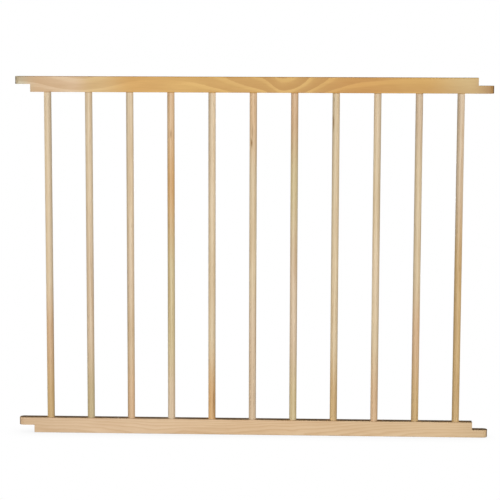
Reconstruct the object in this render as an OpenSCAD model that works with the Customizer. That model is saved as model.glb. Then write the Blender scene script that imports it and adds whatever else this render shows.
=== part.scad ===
// Wooden safety gate panel: round spindles glued and nailed between two rails.
// Each rail is one bar whose ends are cut to half-lap tongues. An upright hole in
// each tongue takes the pin of a wall bracket or of the next panel.
// +X runs along the rails to the right, +Y from front to back, +Z up.
// The origin is in the middle of the panel, at the underside of the bottom rail.

/* [Panel] */
// Overall height, from the underside of the bottom rail to the top of the top rail
panel_h = 695; // [500:5:1000]

/* [Spindles] */
// Number of spindles
spindle_count = 11; // [4:1:14]
// Diameter of a spindle
spindle_d = 14; // [10:0.5:15]
// Clear gap between two spindles
bar_gap = 65; // [40:1:65]
// Depth of the blind socket that a spindle is glued into
socket_depth = 16; // [10:1:20]
// Chamfer at both ends of a spindle
spindle_chamfer = 1; // [0.5:0.5:2]

/* [Rails] */
// Height of a rail
rail_h = 30; // [26:1:50]
// Thickness of a rail, front to back
rail_t = 18; // [18:1:30]
// Radius of a rail's long edges
rail_edge_r = 1.5; // [0.5:0.5:3]
// Distance from the centre of an outer spindle to the shoulder beside it
shoulder_margin = 32; // [15:1:60]

/* [Tongues] */
// Length of a tongue, from the rail's shoulder to its rounded tip
tongue_l = 30; // [30:1:60]
// Diameter of the upright pin hole in a tongue
pin_hole_d = 6.5; // [4:0.1:8]
// Distance from the centre of the pin hole to the tip of the tongue
pin_to_tip = 14.5; // [12:0.5:20]
// Chamfer at both mouths of a pin hole
pin_hole_chamfer = 0.5; // [0.2:0.1:1]

/* [Brads] */
// Length of a brad under its head
brad_l = 13.5; // [8:0.5:15]
// Diameter of a brad's shank
brad_d = 1.2; // [0.9:0.1:1.6]
// Height of a brad from the rail's inner edge
brad_inset = 7; // [4:0.5:9]

/* [Hidden] */
$fn = 64;
spindle_names = [for (i = [1 : spindle_count]) str("spindle_", i < 10 ? "0" : "", i)];

// Wood colours. The spindles are turned from mixed stock, so their tones vary.
top_rail_tone = "#D0A568";
bottom_rail_tone = "#DAB991";
spindle_tones = ["#D6B78E", "#DDC49F", "#DCBB96", "#E2C8A2", "#D3AE7B"];
steel_tone = "#8C8C8A";

// Layout along X: the shoulders stand outside the outer spindles, and the tongues
// reach on from the shoulders to the panel's ends.
spindle_pitch = spindle_d + bar_gap;
spindle_span = (spindle_count - 1) * spindle_pitch;
spindle_xs = [for (i = [0 : spindle_count - 1]) i * spindle_pitch - spindle_span / 2];
shoulder_x = spindle_span / 2 + shoulder_margin;
tip_x = shoulder_x + tongue_l;
pin_x = tip_x - pin_to_tip;

// Layout along Z
lap_z = rail_h / 2;
top_rail_z = panel_h - rail_h;
lower_brad_z = rail_h - brad_inset;
upper_brad_z = top_rail_z + brad_inset;

// Spindles stop at the bottoms of their sockets, with room for glue around them.
glue_gap = 0.05;
socket_r = spindle_d / 2 + glue_gap;
spindle_l = panel_h - 2 * (rail_h - socket_depth);

// Brads are driven from the back and set just under the surface.
brad_head_d = 2;
brad_head_t = 0.6;
brad_set = 0.3;
brad_point_l = 2;

// Length by which a cut runs past the surface that it opens
over = 1;

// Section of a rail across its length, standing on the X axis
module rail_section() {
    flat_t = rail_t - 2 * rail_edge_r;
    flat_h = rail_h - 2 * rail_edge_r;
    translate([-flat_t / 2, 0]) square([flat_t, rail_h]);
    translate([-rail_t / 2, rail_edge_r]) square([rail_t, flat_h]);
    for (side = [-1, 1], z = [rail_edge_r, rail_h - rail_edge_r])
        translate([side * flat_t / 2, z]) circle(r = rail_edge_r);
}

// Half-round end of a rail with the same eased edges as the bar
module rounded_end(x) {
    translate([x, 0, 0])
        rotate_extrude()
            intersection() {
                rail_section();
                square([rail_t, rail_h]);
            }
}

// Space beside a tongue, for the tongue of the neighbouring panel
module lap_notch(x_low, z_low) {
    translate([x_low, -rail_t / 2 - over, z_low])
        cube([tongue_l + over, rail_t + 2 * over, lap_z + over]);
}

// Upright through hole, from z_low up through half the rail
module pin_hole(x, z_low) {
    pin_r = pin_hole_d / 2;
    wide_r = pin_r + pin_hole_chamfer;
    translate([x, 0, z_low]) {
        translate([0, 0, -over]) cylinder(r = pin_r, h = lap_z + 2 * over);
        cylinder(r1 = wide_r, r2 = pin_r, h = pin_hole_chamfer);
        translate([0, 0, lap_z - pin_hole_chamfer])
            cylinder(r1 = pin_r, r2 = wide_r, h = pin_hole_chamfer);
    }
}

// Bar with its two tongues: the upper half at the left, the lower half at the right
module rail_blank() {
    end_x = tip_x - rail_t / 2;
    difference() {
        union() {
            rotate([90, 0, 90]) linear_extrude(2 * end_x, center = true) rail_section();
            rounded_end(-end_x);
            rounded_end(end_x);
        }
        lap_notch(-tip_x - over, -over);
        lap_notch(shoulder_x, lap_z);
        pin_hole(-pin_x, lap_z);
        pin_hole(pin_x, 0);
    }
}

// Blind sockets along a rail, from z_low up
module sockets(z_low) {
    for (x = spindle_xs) translate([x, 0, z_low]) cylinder(r = socket_r, h = socket_depth + over);
}

// One brad, its head at the back and its point towards the front
module brad(x, z) {
    shank_l = brad_l - brad_point_l;
    translate([x, rail_t / 2 - brad_set, z])
        rotate([90, 0, 0]) {
            cylinder(d = brad_head_d, h = brad_head_t);
            cylinder(d = brad_d, h = brad_head_t + shank_l);
            translate([0, 0, brad_head_t + shank_l])
                cylinder(d1 = brad_d, d2 = 0, h = brad_point_l);
        }
}

// Hole that a brad makes, with the small pit above its sunk head
module brad_hole(x, z) {
    brad(x, z);
    translate([x, rail_t / 2 + over, z])
        rotate([90, 0, 0]) cylinder(d = brad_head_d, h = over + brad_set);
}

module top_rail() {
    color(top_rail_tone)
        difference() {
            translate([0, 0, top_rail_z]) rail_blank();
            sockets(top_rail_z - over);
            for (x = spindle_xs) brad_hole(x, upper_brad_z);
        }
}

module bottom_rail() {
    color(bottom_rail_tone)
        difference() {
            rail_blank();
            sockets(rail_h - socket_depth);
            for (x = spindle_xs) brad_hole(x, lower_brad_z);
        }
}

module spindle(i) {
    tip_r = spindle_d / 2 - spindle_chamfer;
    body_l = spindle_l - 2 * spindle_chamfer;
    color(spindle_tones[i % len(spindle_tones)])
        difference() {
            translate([spindle_xs[i], 0, rail_h - socket_depth]) {
                cylinder(r1 = tip_r, r2 = spindle_d / 2, h = spindle_chamfer);
                translate([0, 0, spindle_chamfer]) cylinder(d = spindle_d, h = body_l);
                translate([0, 0, spindle_chamfer + body_l])
                    cylinder(r1 = spindle_d / 2, r2 = tip_r, h = spindle_chamfer);
            }
            brad(spindle_xs[i], lower_brad_z);
            brad(spindle_xs[i], upper_brad_z);
        }
}

module top_rail_brads() {
    color(steel_tone) for (x = spindle_xs) brad(x, upper_brad_z);
}

module bottom_rail_brads() {
    color(steel_tone) for (x = spindle_xs) brad(x, lower_brad_z);
}

top_rail();
bottom_rail();
for (i = [0 : spindle_count - 1])
    spindle(i);
top_rail_brads();
bottom_rail_brads();
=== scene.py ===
import math
from dataclasses import dataclass

import bpy
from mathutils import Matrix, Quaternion, Vector


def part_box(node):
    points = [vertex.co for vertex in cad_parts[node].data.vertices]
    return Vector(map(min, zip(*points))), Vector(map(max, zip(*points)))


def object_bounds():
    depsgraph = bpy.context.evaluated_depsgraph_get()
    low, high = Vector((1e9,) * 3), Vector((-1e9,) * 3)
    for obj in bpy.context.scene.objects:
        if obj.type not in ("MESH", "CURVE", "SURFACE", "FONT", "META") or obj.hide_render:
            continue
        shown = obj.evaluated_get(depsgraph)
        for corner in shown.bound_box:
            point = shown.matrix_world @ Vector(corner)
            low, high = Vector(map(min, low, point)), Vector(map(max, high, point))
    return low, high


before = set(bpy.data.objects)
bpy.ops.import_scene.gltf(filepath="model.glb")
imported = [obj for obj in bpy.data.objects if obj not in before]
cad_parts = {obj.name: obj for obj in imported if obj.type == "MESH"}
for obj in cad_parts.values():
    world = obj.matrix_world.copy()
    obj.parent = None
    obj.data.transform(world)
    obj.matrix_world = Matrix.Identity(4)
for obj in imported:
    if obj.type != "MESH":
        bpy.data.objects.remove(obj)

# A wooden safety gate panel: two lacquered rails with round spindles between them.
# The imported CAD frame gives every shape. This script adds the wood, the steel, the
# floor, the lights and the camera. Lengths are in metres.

CAD_LOW, CAD_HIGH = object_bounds()
CENTRE = (CAD_LOW + CAD_HIGH) / 2

# ---------------------------------------------------------------- node helpers


def linear(red, green, blue):
    """A colour given as 0 to 255 on screen, as the linear values that shaders use."""
    def channel(value):
        share = value / 255
        return share / 12.92 if share <= 0.04045 else ((share + 0.055) / 1.055) ** 2.4
    return channel(red), channel(green), channel(blue), 1.0


def grey(value):
    return value, value, value, 1.0


def grey_stops(stops):
    return [(place, grey(amount)) for place, amount in stops]


class Graph:
    """A node tree with one short call for each kind of node used here."""

    def __init__(self, tree):
        self.tree = tree
        tree.nodes.clear()

    def node(self, kind, inputs=None, **settings):
        made = self.tree.nodes.new(kind)
        for name, value in settings.items():
            setattr(made, name, value)
        for key, value in (inputs or {}).items():
            self.feed(made.inputs[key], value)
        return made

    def feed(self, socket, value):
        if isinstance(value, bpy.types.NodeSocket):
            self.tree.links.new(value, socket)
        else:
            socket.default_value = value

    def math(self, operation, first, second=0.0, third=0.0):
        inputs = {0: first, 1: second, 2: third}
        return self.node("ShaderNodeMath", inputs, operation=operation).outputs[0]

    def add(self, first, second):
        return self.math("ADD", first, second)

    def times(self, first, second):
        return self.math("MULTIPLY", first, second)

    def vector(self, x, y, z):
        return self.node("ShaderNodeCombineXYZ", {0: x, 1: y, 2: z}).outputs[0]

    def parts(self, vector):
        return self.node("ShaderNodeSeparateXYZ", {0: vector}).outputs[:3]

    def noise(self, vector, detail, scale=1.0):
        inputs = {"Vector": vector, "Scale": scale, "Detail": detail}
        return self.node("ShaderNodeTexNoise", inputs).outputs

    def spread(self, value, low, high):
        """The value stretched so that low to high becomes 0 to 1, with soft ends."""
        inputs = {"Value": value, "From Min": low, "From Max": high}
        return self.node("ShaderNodeMapRange", inputs, interpolation_type="SMOOTHSTEP").outputs[0]

    def ramp(self, factor, stops, interpolation="EASE"):
        made = self.node("ShaderNodeValToRGB", {"Fac": factor})
        elements = made.color_ramp.elements
        made.color_ramp.interpolation = interpolation
        while len(elements) > 1:
            elements.remove(elements[-1])
        elements[0].position = stops[0][0]
        elements[0].color = stops[0][1]
        for position, colour in stops[1:]:
            elements.new(position).color = colour
        return made.outputs[0]

    def mix(self, factor, first, second, blend="MIX"):
        made = self.node("ShaderNodeMix", data_type="RGBA", blend_type=blend)
        colours = [s for s in made.inputs if s.type == "RGBA"]
        self.feed(made.inputs[0], factor)
        self.feed(colours[0], first)
        self.feed(colours[1], second)
        return next(s for s in made.outputs if s.type == "RGBA")

    def tint(self, factor, colour, share):
        """The colour times the share of each channel, as far as the factor says."""
        return self.mix(factor, colour, share, "MULTIPLY")


def node_material(name):
    """A new material, and the Graph of its node tree."""
    material = bpy.data.materials.new(name)
    material.use_nodes = True
    return material, Graph(material.node_tree)


# ---------------------------------------------------------------- wood

# Noise along the grain: the length and the width of a blot, and how much finer detail it has
FIBRES = (0.04, 0.0007, 4.0)
PORES = (0.011, 0.0003, 1.0)
PATCHES = (0.11, 0.017, 2.0)
STRAY_WIDTH = 0.04
STRAY_DETAIL = 3.0

# Noise levels between which each of these rises from none to full
STREAK_LEVELS = (0.35, 0.75)
PORE_LEVELS = (0.66, 0.78)
PATCH_LEVELS = (0.35, 0.8)

# Share of the pale wood's red, green and blue that is left in each darker kind
LATE_TINT = (0.74, 0.62, 0.48, 1.0)
STREAK_TINT = (0.86, 0.80, 0.72, 1.0)
# MARK_TINT also colours the painted shade line at each spindle's head
MARK_TINT = (0.45, 0.34, 0.20, 1.0)
END_GRAIN_TINT = (0.40, 0.32, 0.23, 1.0)

# How far each kind goes towards its tint at most
STREAK_AMOUNT = 0.45
PORE_AMOUNT = 0.3
PATCH_AMOUNT = 0.3
END_GRAIN_AMOUNT = 0.85

# A ring's edge strays this far where a fibre crosses it
FIBRE_FEATHER = 0.0009
# How strongly the rings show on a cut end
END_GRAIN_FIGURE = 0.85
# A face counts as long grain below the first value of its normal along the grain, and as a
# cut end above the second
CUT_FACING = (0.62, 0.88)
# A lean of 1 would turn the wood black at this distance from the stick's axis
LEAN_REACH = 0.007

# Relief: fibres and dark wood stand up, and pores lie low
FIBRE_RELIEF = 0.6
LATE_RELIEF = 0.4
PORE_RELIEF = 0.8
RELIEF_STRENGTH = 0.35
RELIEF_HEIGHT = 0.00012
EASED_EDGE = 0.0004

# Satin lacquer, rougher over the fibres and on cut ends
LACQUER_ROUGHNESS = 0.38
FIBRE_ROUGHNESS = 0.12
END_GRAIN_ROUGHNESS = 0.2
LACQUER_SPECULAR = 0.3


@dataclass
class Wood:
    """How one stick was cut from its log, and its tones.

    grain: the axis that the grain follows, "X" or "Z"
    centre: the middle of the stick
    length: how long the stick is along its grain
    pith: where the middle of the log lies across the grain, from the stick's own axis
    ring: width of a year ring
    swells: bends of the log, each with how much nearer its middle comes, where on the stick
        that is, and how far the bend reaches towards the low end and the high end
    wander, sway: how far the rings stray from round, and over what length along the stick
    season: stops from the start of a year to its end, 0 for pale wood and 1 for dark
    figure: stops of how strongly the rings show along the stick
    tones: stops of the pale wood's colour along the stick, from its low end to its high end
    seed: shifts the noise, so that no two sticks match
    lean: how much darker the wood gets from its axis to its side across, at the low end and
        at the high end; below 0 it gets lighter there, and darker on the other side
    marks: pin knots, resin streaks and a painted shade line at a joint, each with its place
    from the centre (along, across, up), its half length, its half width and its strength
    """

    grain: str
    centre: Vector
    length: float
    pith: tuple
    ring: float
    swells: list
    wander: float
    season: list
    figure: list
    tones: list
    seed: float
    sway: float = 0.2
    lean: tuple = (0.0, 0.0)
    marks: tuple = ()


def stick_coordinates(graph, wood):
    """Position along the grain, and the two positions across it, from the stick's axis."""
    place = graph.node("ShaderNodeTexCoord").outputs["Object"]
    centred = graph.node("ShaderNodeVectorMath", {0: place, 1: wood.centre},
                         operation="SUBTRACT").outputs[0]
    x, y, z = graph.parts(centred)
    return (x, y, z) if wood.grain == "X" else (z, x, y)


def share_along(graph, wood, along):
    """0 at the stick's low end, 1 at its high end."""
    return graph.add(graph.times(along, 1 / wood.length), 0.5)


def stretched_noise(graph, wood, place, length, width, detail):
    """Noise drawn out along the grain: one blot is about length long and width wide."""
    along, across, up = place
    stretched = graph.vector(graph.add(graph.times(along, 1 / length), wood.seed),
                             graph.times(across, 1 / width), graph.times(up, 1 / width))
    return graph.noise(stretched, detail)


def log_bend(graph, wood, along):
    """How much nearer the middle of the log comes at each place along the stick."""
    total = 0.0
    for size, middle, reach in wood.swells:
        away = graph.add(along, -middle)
        before = graph.times(graph.math("MINIMUM", away, 0.0), 1 / reach[0])
        after = graph.times(graph.math("MAXIMUM", away, 0.0), 1 / reach[1])
        square = graph.add(graph.times(before, before), graph.times(after, after))
        nearness = graph.math("EXPONENT", graph.times(square, -0.5))
        total = graph.math("MULTIPLY_ADD", nearness, size, total)
    return total


def log_radius(graph, wood, place):
    """Distance from the middle of the log, which strays a little from round."""
    along, across, up = place
    stray = stretched_noise(graph, wood, place, wood.sway, STRAY_WIDTH, STRAY_DETAIL)["Color"]
    stray = graph.parts(stray)
    out = graph.add(graph.add(across, -wood.pith[0]), log_bend(graph, wood, along))
    out = graph.add(out, graph.times(graph.add(stray[0], -0.5), wood.wander))
    rise = graph.add(graph.add(up, -wood.pith[1]),
                     graph.times(graph.add(stray[1], -0.5), wood.wander))
    return graph.math("SQRT", graph.add(graph.times(out, out), graph.times(rise, rise)))


def year_rings(graph, wood, place, streak, cut):
    """0 in the pale wood of a year, rising to 1 in its dark wood, and clearest on a cut end."""
    feathered = graph.add(log_radius(graph, wood, place), graph.times(streak, FIBRE_FEATHER))
    season = graph.math("FRACT", graph.times(feathered, 1 / wood.ring))
    dark = graph.ramp(season, grey_stops(wood.season))
    strength = graph.ramp(share_along(graph, wood, place[0]), grey_stops(wood.figure))
    strength = graph.math("MAXIMUM", strength, graph.times(cut, END_GRAIN_FIGURE))
    return graph.times(dark, strength)


def end_grain(graph, wood):
    """0 on the long faces, 1 where the grain is cut across."""
    normal = graph.parts(graph.node("ShaderNodeTexCoord").outputs["Normal"])
    facing = graph.math("ABSOLUTE", normal[0] if wood.grain == "X" else normal[2])
    return graph.spread(facing, *CUT_FACING)


def mark_amount(graph, wood, place):
    """0 in clear wood, rising to 1 in the middle of each pin knot, resin streak and painted shade
    line.
    """
    amount = 0.0
    for *middle, length, width, strength in wood.marks:
        apart = 0.0
        for value, centre, reach in zip(place, middle, (length, width, width)):
            share = graph.times(graph.add(value, -centre), 1 / reach)
            apart = graph.math("MULTIPLY_ADD", share, share, apart)
        near = graph.times(graph.math("EXPONENT", graph.times(apart, -1.0)), strength)
        amount = graph.math("MAXIMUM", near, amount)
    return amount


def side_light(graph, wood, along, across):
    """1 on the stick's axis, and more or less than 1 on its lighter and darker side."""
    low, high = wood.lean
    lean = graph.math("MULTIPLY_ADD", share_along(graph, wood, along), high - low, low)
    return graph.math("MULTIPLY_ADD", graph.times(lean, across), -1 / LEAN_REACH, 1.0)


def pale_wood(graph, wood, place):
    """The stick's own tones, lighter on one side where it leans."""
    along, across, _ = place
    pale = graph.ramp(share_along(graph, wood, along), wood.tones)
    if not any(wood.lean):
        return pale
    light = side_light(graph, wood, along, across)
    return graph.node("ShaderNodeVectorMath", {0: pale, "Scale": light},
                      operation="SCALE").outputs[0]


def wood_colour(graph, wood, place, streak, dark, pores, cut):
    pale = pale_wood(graph, wood, place)
    late = graph.tint(1.0, pale, LATE_TINT)
    colour = graph.mix(dark, pale, late)
    patches = graph.spread(stretched_noise(graph, wood, place, *PATCHES)["Fac"], *PATCH_LEVELS)
    colour = graph.mix(graph.times(patches, PATCH_AMOUNT), colour, late)
    streaks = graph.spread(streak, *STREAK_LEVELS)
    colour = graph.tint(graph.times(streaks, STREAK_AMOUNT), colour, STREAK_TINT)
    colour = graph.tint(graph.times(pores, PORE_AMOUNT), colour, LATE_TINT)
    if wood.marks:
        # Pin knots and resin streaks, and the painted shade line at each spindle's head, darken
        # the wood here
        colour = graph.tint(mark_amount(graph, wood, place), colour, MARK_TINT)
    return graph.tint(graph.times(cut, END_GRAIN_AMOUNT), colour, END_GRAIN_TINT)


def wood_relief(graph, streak, dark, pores):
    """The surface's normal, with its sharp edges eased and a fine relief on it."""
    raised = graph.add(graph.times(streak, FIBRE_RELIEF), graph.times(dark, LATE_RELIEF))
    height = graph.math("SUBTRACT", raised, graph.times(pores, PORE_RELIEF))
    eased = graph.node("ShaderNodeBevel", {"Radius": EASED_EDGE}, samples=4)
    return graph.node("ShaderNodeBump", {
        "Strength": RELIEF_STRENGTH,
        "Distance": RELIEF_HEIGHT,
        "Height": height,
        "Normal": eased.outputs[0],
    }).outputs[0]


def wood_roughness(graph, streak, cut):
    above = graph.add(graph.times(streak, FIBRE_ROUGHNESS), graph.times(cut, END_GRAIN_ROUGHNESS))
    return graph.add(above, LACQUER_ROUGHNESS)


def wood_material(name, wood):
    material, graph = node_material(name)
    place = stick_coordinates(graph, wood)
    streak = stretched_noise(graph, wood, place, *FIBRES)["Fac"]
    pores = graph.spread(stretched_noise(graph, wood, place, *PORES)["Fac"], *PORE_LEVELS)
    cut = end_grain(graph, wood)
    dark = year_rings(graph, wood, place, streak, cut)
    shader = graph.node("ShaderNodeBsdfPrincipled", {
        "Base Color": wood_colour(graph, wood, place, streak, dark, pores, cut),
        "Roughness": wood_roughness(graph, streak, cut),
        "Specular IOR Level": LACQUER_SPECULAR,
        "Normal": wood_relief(graph, streak, dark, pores),
    })
    graph.node("ShaderNodeOutputMaterial", {"Surface": shader.outputs[0]})
    return material


def stick(node, grain, **features):
    """A Wood for a CAD node, centred on its box."""
    low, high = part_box(node)
    axis = 0 if grain == "X" else 2
    return Wood(grain, (low + high) / 2, (high - low)[axis], **features)


def dress(node, material):
    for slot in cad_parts[node].material_slots:
        slot.material = material


# Dark wood through a year: broad with a pale start, or a thin line at the year's end
BROAD_DARK = [(0.0, 0.0), (0.16, 0.05), (0.38, 0.7), (0.8, 0.95), (0.95, 1.0), (1.0, 0.0)]
THIN_DARK = [(0.0, 0.25), (0.12, 0.05), (0.5, 0.2), (0.86, 0.8), (0.95, 0.6), (1.0, 0.25)]

# How strongly the year rings show along each stick, from its low end to its high end
TOP_RAIL_FIGURE = [(0.0, 0.55), (0.13, 0.5), (0.24, 0.22), (0.34, 0.25), (0.43, 0.7), (0.6, 0.95),
                   (0.72, 0.6), (0.85, 0.25)]
BOTTOM_RAIL_FIGURE = [(0.0, 0.5), (0.6, 0.65), (0.9, 0.5)]
SPINDLE_FIGURE = [(0.0, 0.7), (1.0, 0.7)]

# The top rail turns from pale at its left end to amber, and back a little at its right end
TOP_RAIL_TONES = [(0.0, linear(206, 196, 168)), (0.05, linear(222, 190, 150)),
                  (0.12, linear(228, 198, 160)), (0.17, linear(224, 190, 132)),
                  (0.25, linear(221, 172, 94)), (0.4, linear(224, 180, 101)),
                  (0.6, linear(221, 177, 98)), (0.72, linear(215, 162, 80)),
                  (0.85, linear(215, 168, 88)), (0.95, linear(215, 184, 126)),
                  (1.0, linear(184, 144, 93))]
BOTTOM_RAIL_TONES = [(0.0, linear(216, 186, 150)), (0.2, linear(224, 194, 158)),
                     (0.5, linear(222, 190, 150)), (0.9, linear(221, 191, 150)),
                     (1.0, linear(214, 186, 146))]


def dress_rails():
    top = stick("top_rail", "X", pith=(0.1954, 0.0385), ring=0.0044,
                swells=[(0.0043, 0.057, (0.018, 0.036)), (0.0085, 0.057, (0.09, 0.07)),
                        (0.004, -0.33, (0.06, 0.05))],
                wander=0.003, season=BROAD_DARK, figure=TOP_RAIL_FIGURE, tones=TOP_RAIL_TONES,
                seed=3.0)
    bottom = stick("bottom_rail", "X", pith=(0.05, -0.02), ring=0.0022,
                   swells=[(0.012, 0.42, (0.2, 0.1)), (0.004, -0.4, (0.15, 0.1))],
                   wander=0.006, sway=0.12, season=THIN_DARK, figure=BOTTOM_RAIL_FIGURE,
                   tones=BOTTOM_RAIL_TONES, seed=11.0)
    dress("top_rail", wood_material("wood_top_rail", top))
    dress("bottom_rail", wood_material("wood_bottom_rail", bottom))


CREAM = linear(230, 211, 180)
SAND = linear(225, 206, 172)
PALE = linear(222, 201, 172)
STRAW = linear(216, 200, 158)
BISCUIT = linear(217, 194, 160)
PEACH = linear(230, 200, 162)
ROSE = linear(219, 187, 150)
AMBER = linear(218, 178, 126)
HONEY = linear(210, 180, 130)
OLIVE = linear(204, 187, 147)

# Tones of each spindle from its foot to its head, for the spindles from left to right
SPINDLE_TONES = [
    (HONEY, ROSE, CREAM, CREAM, CREAM),
    (OLIVE, PALE, PALE, CREAM, CREAM),
    (ROSE, BISCUIT, PALE, CREAM, CREAM),
    (PALE, STRAW, STRAW, AMBER, PEACH),
    (AMBER, SAND, SAND, CREAM, CREAM),
    (PALE, PALE, SAND, SAND, PEACH),
    (STRAW, PALE, PALE, STRAW, ROSE),
    (HONEY, SAND, SAND, SAND, SAND),
    (ROSE, SAND, CREAM, SAND, CREAM),
    (HONEY, ROSE, SAND, SAND, PALE),
    (HONEY, HONEY, HONEY, PALE, PALE),
]
TONE_PLACES = (0.06, 0.28, 0.45, 0.72, 0.92)

# Leans at foot and head of the spindles that are darker on one side: the right above 0, the
# left below it
SPINDLE_LEANS = {
    "spindle_01": (0.07, 0.21),
    "spindle_03": (-0.1, -0.16),
    "spindle_04": (0.0, -0.13),
    "spindle_05": (0.18, -0.28),
    "spindle_08": (0.12, -0.22),
    "spindle_09": (0.06, 0.06),
    "spindle_10": (-0.13, -0.13),
    "spindle_11": (-0.12, -0.29),
}
NO_LEAN = (0.0, 0.0)

# Pin knots and resin streaks that show on the front of four spindles
SPINDLE_MARKS = {
    "spindle_04": [(0.238, 0.0005, -0.007, 0.007, 0.0018, 0.6)],
    "spindle_05": [(-0.285, 0.0035, -0.006, 0.025, 0.0014, 0.6)],
    "spindle_06": [(0.222, -0.0028, -0.0064, 0.007, 0.0018, 1.0),
                   (0.243, -0.0010, -0.007, 0.014, 0.0012, 0.7)],
    "spindle_08": [(0.262, -0.0048, -0.0051, 0.014, 0.0016, 0.9)],
}

# Painted shade under the top rail: a thin dark line round a spindle's head that stands for the
# shadow of the rail's overhang, as a mark that is wider than the spindle
JOINT_SHADE_REACH = 0.001
JOINT_SHADE_STRENGTH = 0.85
ALL_ROUND = 1.0

# From one spindle to the next, the middle of the log moves round by this angle, and the bend
# of the log moves up or down
GOLDEN_TURN = 2.4
SPINDLE_PITH = 0.035
SPINDLE_BEND = 0.004
BEND_HEIGHT = 0.2
BEND_REACH = (0.15, 0.15)
FIRST_SEED = 20.0
SEED_STEP = 7.0


def painted_joint_shade(name):
    """The painted shade line where a spindle meets the top rail."""
    low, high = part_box(name)
    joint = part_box("top_rail")[0].z - (low.z + high.z) / 2
    return joint, 0.0, 0.0, JOINT_SHADE_REACH, ALL_ROUND, JOINT_SHADE_STRENGTH


def spindle_wood(i, name):
    turn = i * GOLDEN_TURN
    return stick(name, "Z", pith=(SPINDLE_PITH * math.cos(turn), SPINDLE_PITH * math.sin(turn)),
                 ring=0.0026, swells=[(SPINDLE_BEND, BEND_HEIGHT * math.sin(turn), BEND_REACH)],
                 wander=0.004, season=THIN_DARK, figure=SPINDLE_FIGURE,
                 tones=list(zip(TONE_PLACES, SPINDLE_TONES[i % len(SPINDLE_TONES)])),
                 seed=FIRST_SEED + SEED_STEP * i, lean=SPINDLE_LEANS.get(name, NO_LEAN),
                 # The first mark is the painted shade line under the top rail
                 marks=[painted_joint_shade(name), *SPINDLE_MARKS.get(name, ())])


def dress_spindles():
    names = sorted(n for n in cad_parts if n.startswith("spindle_"))
    for i, name in enumerate(names):
        dress(name, wood_material(f"wood_{name}", spindle_wood(i, name)))


# ---------------------------------------------------------------- steel

DARK_STEEL = linear(96, 92, 88)
LIGHT_STEEL = linear(158, 156, 152)
STEEL_GRAIN = 2500.0
STEEL_DETAIL = 3.0
STEEL_ROUGHNESS = 0.3
STEEL_ROUGHNESS_RANGE = 0.3


def steel_material():
    material, graph = node_material("steel_brad")
    place = graph.node("ShaderNodeTexCoord").outputs["Object"]
    grain = graph.noise(place, STEEL_DETAIL, STEEL_GRAIN)["Fac"]
    shader = graph.node("ShaderNodeBsdfPrincipled", {
        "Base Color": graph.mix(grain, DARK_STEEL, LIGHT_STEEL),
        "Roughness": graph.add(graph.times(grain, STEEL_ROUGHNESS_RANGE), STEEL_ROUGHNESS),
        "Metallic": 1.0,
    })
    graph.node("ShaderNodeOutputMaterial", {"Surface": shader.outputs[0]})
    return material


def dress_brads():
    steel = steel_material()
    for brads in ("top_rail_brads", "bottom_rail_brads"):
        dress(brads, steel)


# ---------------------------------------------------------------- floor and surroundings

WHITE = grey(1.0)
FLOOR_HALF = 12.0
FLOOR_DROP = 0.0002
FLOOR_LIGHT = 0.16
SHADOW_REACH = 0.05
SHADOW_TONE = 0.84
AMBIENT_LIGHT = 0.04


def shown_and_cast(graph, kind, shown, strength):
    """The shown colour where the camera looks, and white of this strength as a light."""
    path = graph.node("ShaderNodeLightPath")
    seen = graph.node(kind, {"Color": shown, "Strength": 1.0})
    cast = graph.node(kind, {"Color": WHITE, "Strength": strength})
    return graph.node("ShaderNodeMixShader", {0: path.outputs["Is Camera Ray"],
                                              1: cast.outputs[0], 2: seen.outputs[0]}).outputs[0]


def floor_material():
    """White that the camera sees lit evenly, with a soft shadow under the panel."""
    material, graph = node_material("floor_white")
    near = graph.node("ShaderNodeAmbientOcclusion", {"Distance": SHADOW_REACH}, samples=16)
    shade = graph.ramp(near.outputs["AO"], [(0.0, grey(SHADOW_TONE)), (1.0, WHITE)], "LINEAR")
    surface = shown_and_cast(graph, "ShaderNodeEmission", shade, FLOOR_LIGHT)
    graph.node("ShaderNodeOutputMaterial", {"Surface": surface})
    return material


def pale_floor():
    half = FLOOR_HALF
    z = CAD_LOW.z - FLOOR_DROP
    corners = [(-half, -half, z), (half, -half, z), (half, half, z), (-half, half, z)]
    mesh = bpy.data.meshes.new("floor")
    mesh.from_pydata(corners, [], [(0, 1, 2, 3)])
    mesh.materials.append(floor_material())
    floor = bpy.data.objects.new("floor", mesh)
    bpy.context.scene.collection.objects.link(floor)


def white_surroundings():
    """White where the camera looks past the object, and only dim light from all round."""
    world = bpy.data.worlds.new("surroundings")
    bpy.context.scene.world = world
    world.use_nodes = True
    graph = Graph(world.node_tree)
    surface = shown_and_cast(graph, "ShaderNodeBackground", WHITE, AMBIENT_LIGHT)
    graph.node("ShaderNodeOutputWorld", {"Surface": surface})


# ---------------------------------------------------------------- lights and camera

STRIP_RISE = 1.0


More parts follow.
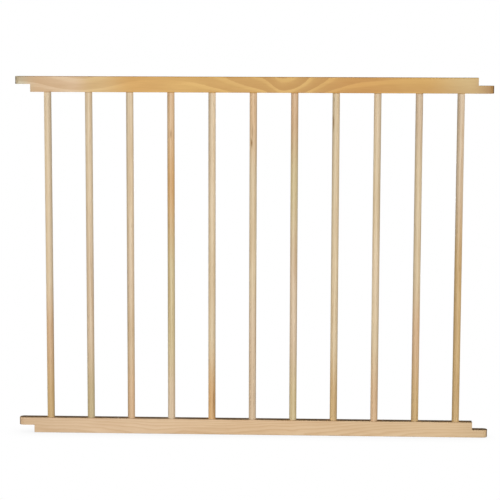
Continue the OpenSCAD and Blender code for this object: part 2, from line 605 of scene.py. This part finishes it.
def softbox(name, place, width, height, watts, glossy=False):
    """A broad lamp aimed at the panel's middle. Only a glossy one shows as a reflection."""
    data = bpy.data.lights.new(name, "AREA")
    data.shape = "RECTANGLE"
    data.size = width
    data.size_y = height
    data.energy = watts
    lamp = bpy.data.objects.new(name, data)
    lamp.location = place
    lamp.rotation_mode = "QUATERNION"
    lamp.rotation_quaternion = (CENTRE - place).to_track_quat("-Z", "Y")
    lamp.visible_glossy = glossy
    bpy.context.scene.collection.objects.link(lamp)


def lights():
    """Low broad light from the front, the back and both sides, and a strip over the top rail."""
    softbox("key", Vector((0.0, -2.8, 0.2)), width=3.0, height=0.4, watts=79, glossy=True)
    softbox("back", Vector((0.0, 2.8, 0.15)), width=3.0, height=0.3, watts=64)
    softbox("left_side", Vector((-3.0, 0.2, 0.14)), width=3.0, height=0.28, watts=26)
    softbox("right_side", Vector((3.0, 0.2, 0.14)), width=3.0, height=0.28, watts=26)
    above = Vector((CENTRE.x, CENTRE.y, CAD_HIGH.z + STRIP_RISE))
    softbox("top_strip", above, width=1.4, height=0.02, watts=4)


CAMERA_DISTANCE = 3.17
CAMERA_RIGHT = 0.119
CAMERA_HEIGHT = 0.75
PITCH_DOWN = math.radians(6.964)
YAW_LEFT = math.radians(2.25)
ROLL = math.radians(0.18)
LENS = 119.2
SENSOR_WIDTH = 36.0


def camera():
    data = bpy.data.cameras.new("camera")
    data.lens = LENS
    data.sensor_width = SENSOR_WIDTH
    cam = bpy.data.objects.new("camera", data)
    cam.location = (CENTRE.x + CAMERA_RIGHT, CENTRE.y - CAMERA_DISTANCE, CAD_LOW.z + CAMERA_HEIGHT)
    ahead = Vector((-math.sin(YAW_LEFT), math.cos(YAW_LEFT), -math.tan(PITCH_DOWN)))
    cam.rotation_mode = "QUATERNION"
    cam.rotation_quaternion = ahead.to_track_quat("-Z", "Y") @ Quaternion((0, 0, 1), ROLL)
    bpy.context.scene.collection.objects.link(cam)
    bpy.context.scene.camera = cam


# ---------------------------------------------------------------- the scene

camera()
dress_rails()
dress_spindles()
dress_brads()
pale_floor()
white_surroundings()
lights()
bpy.context.scene.view_settings.view_transform = "Standard"
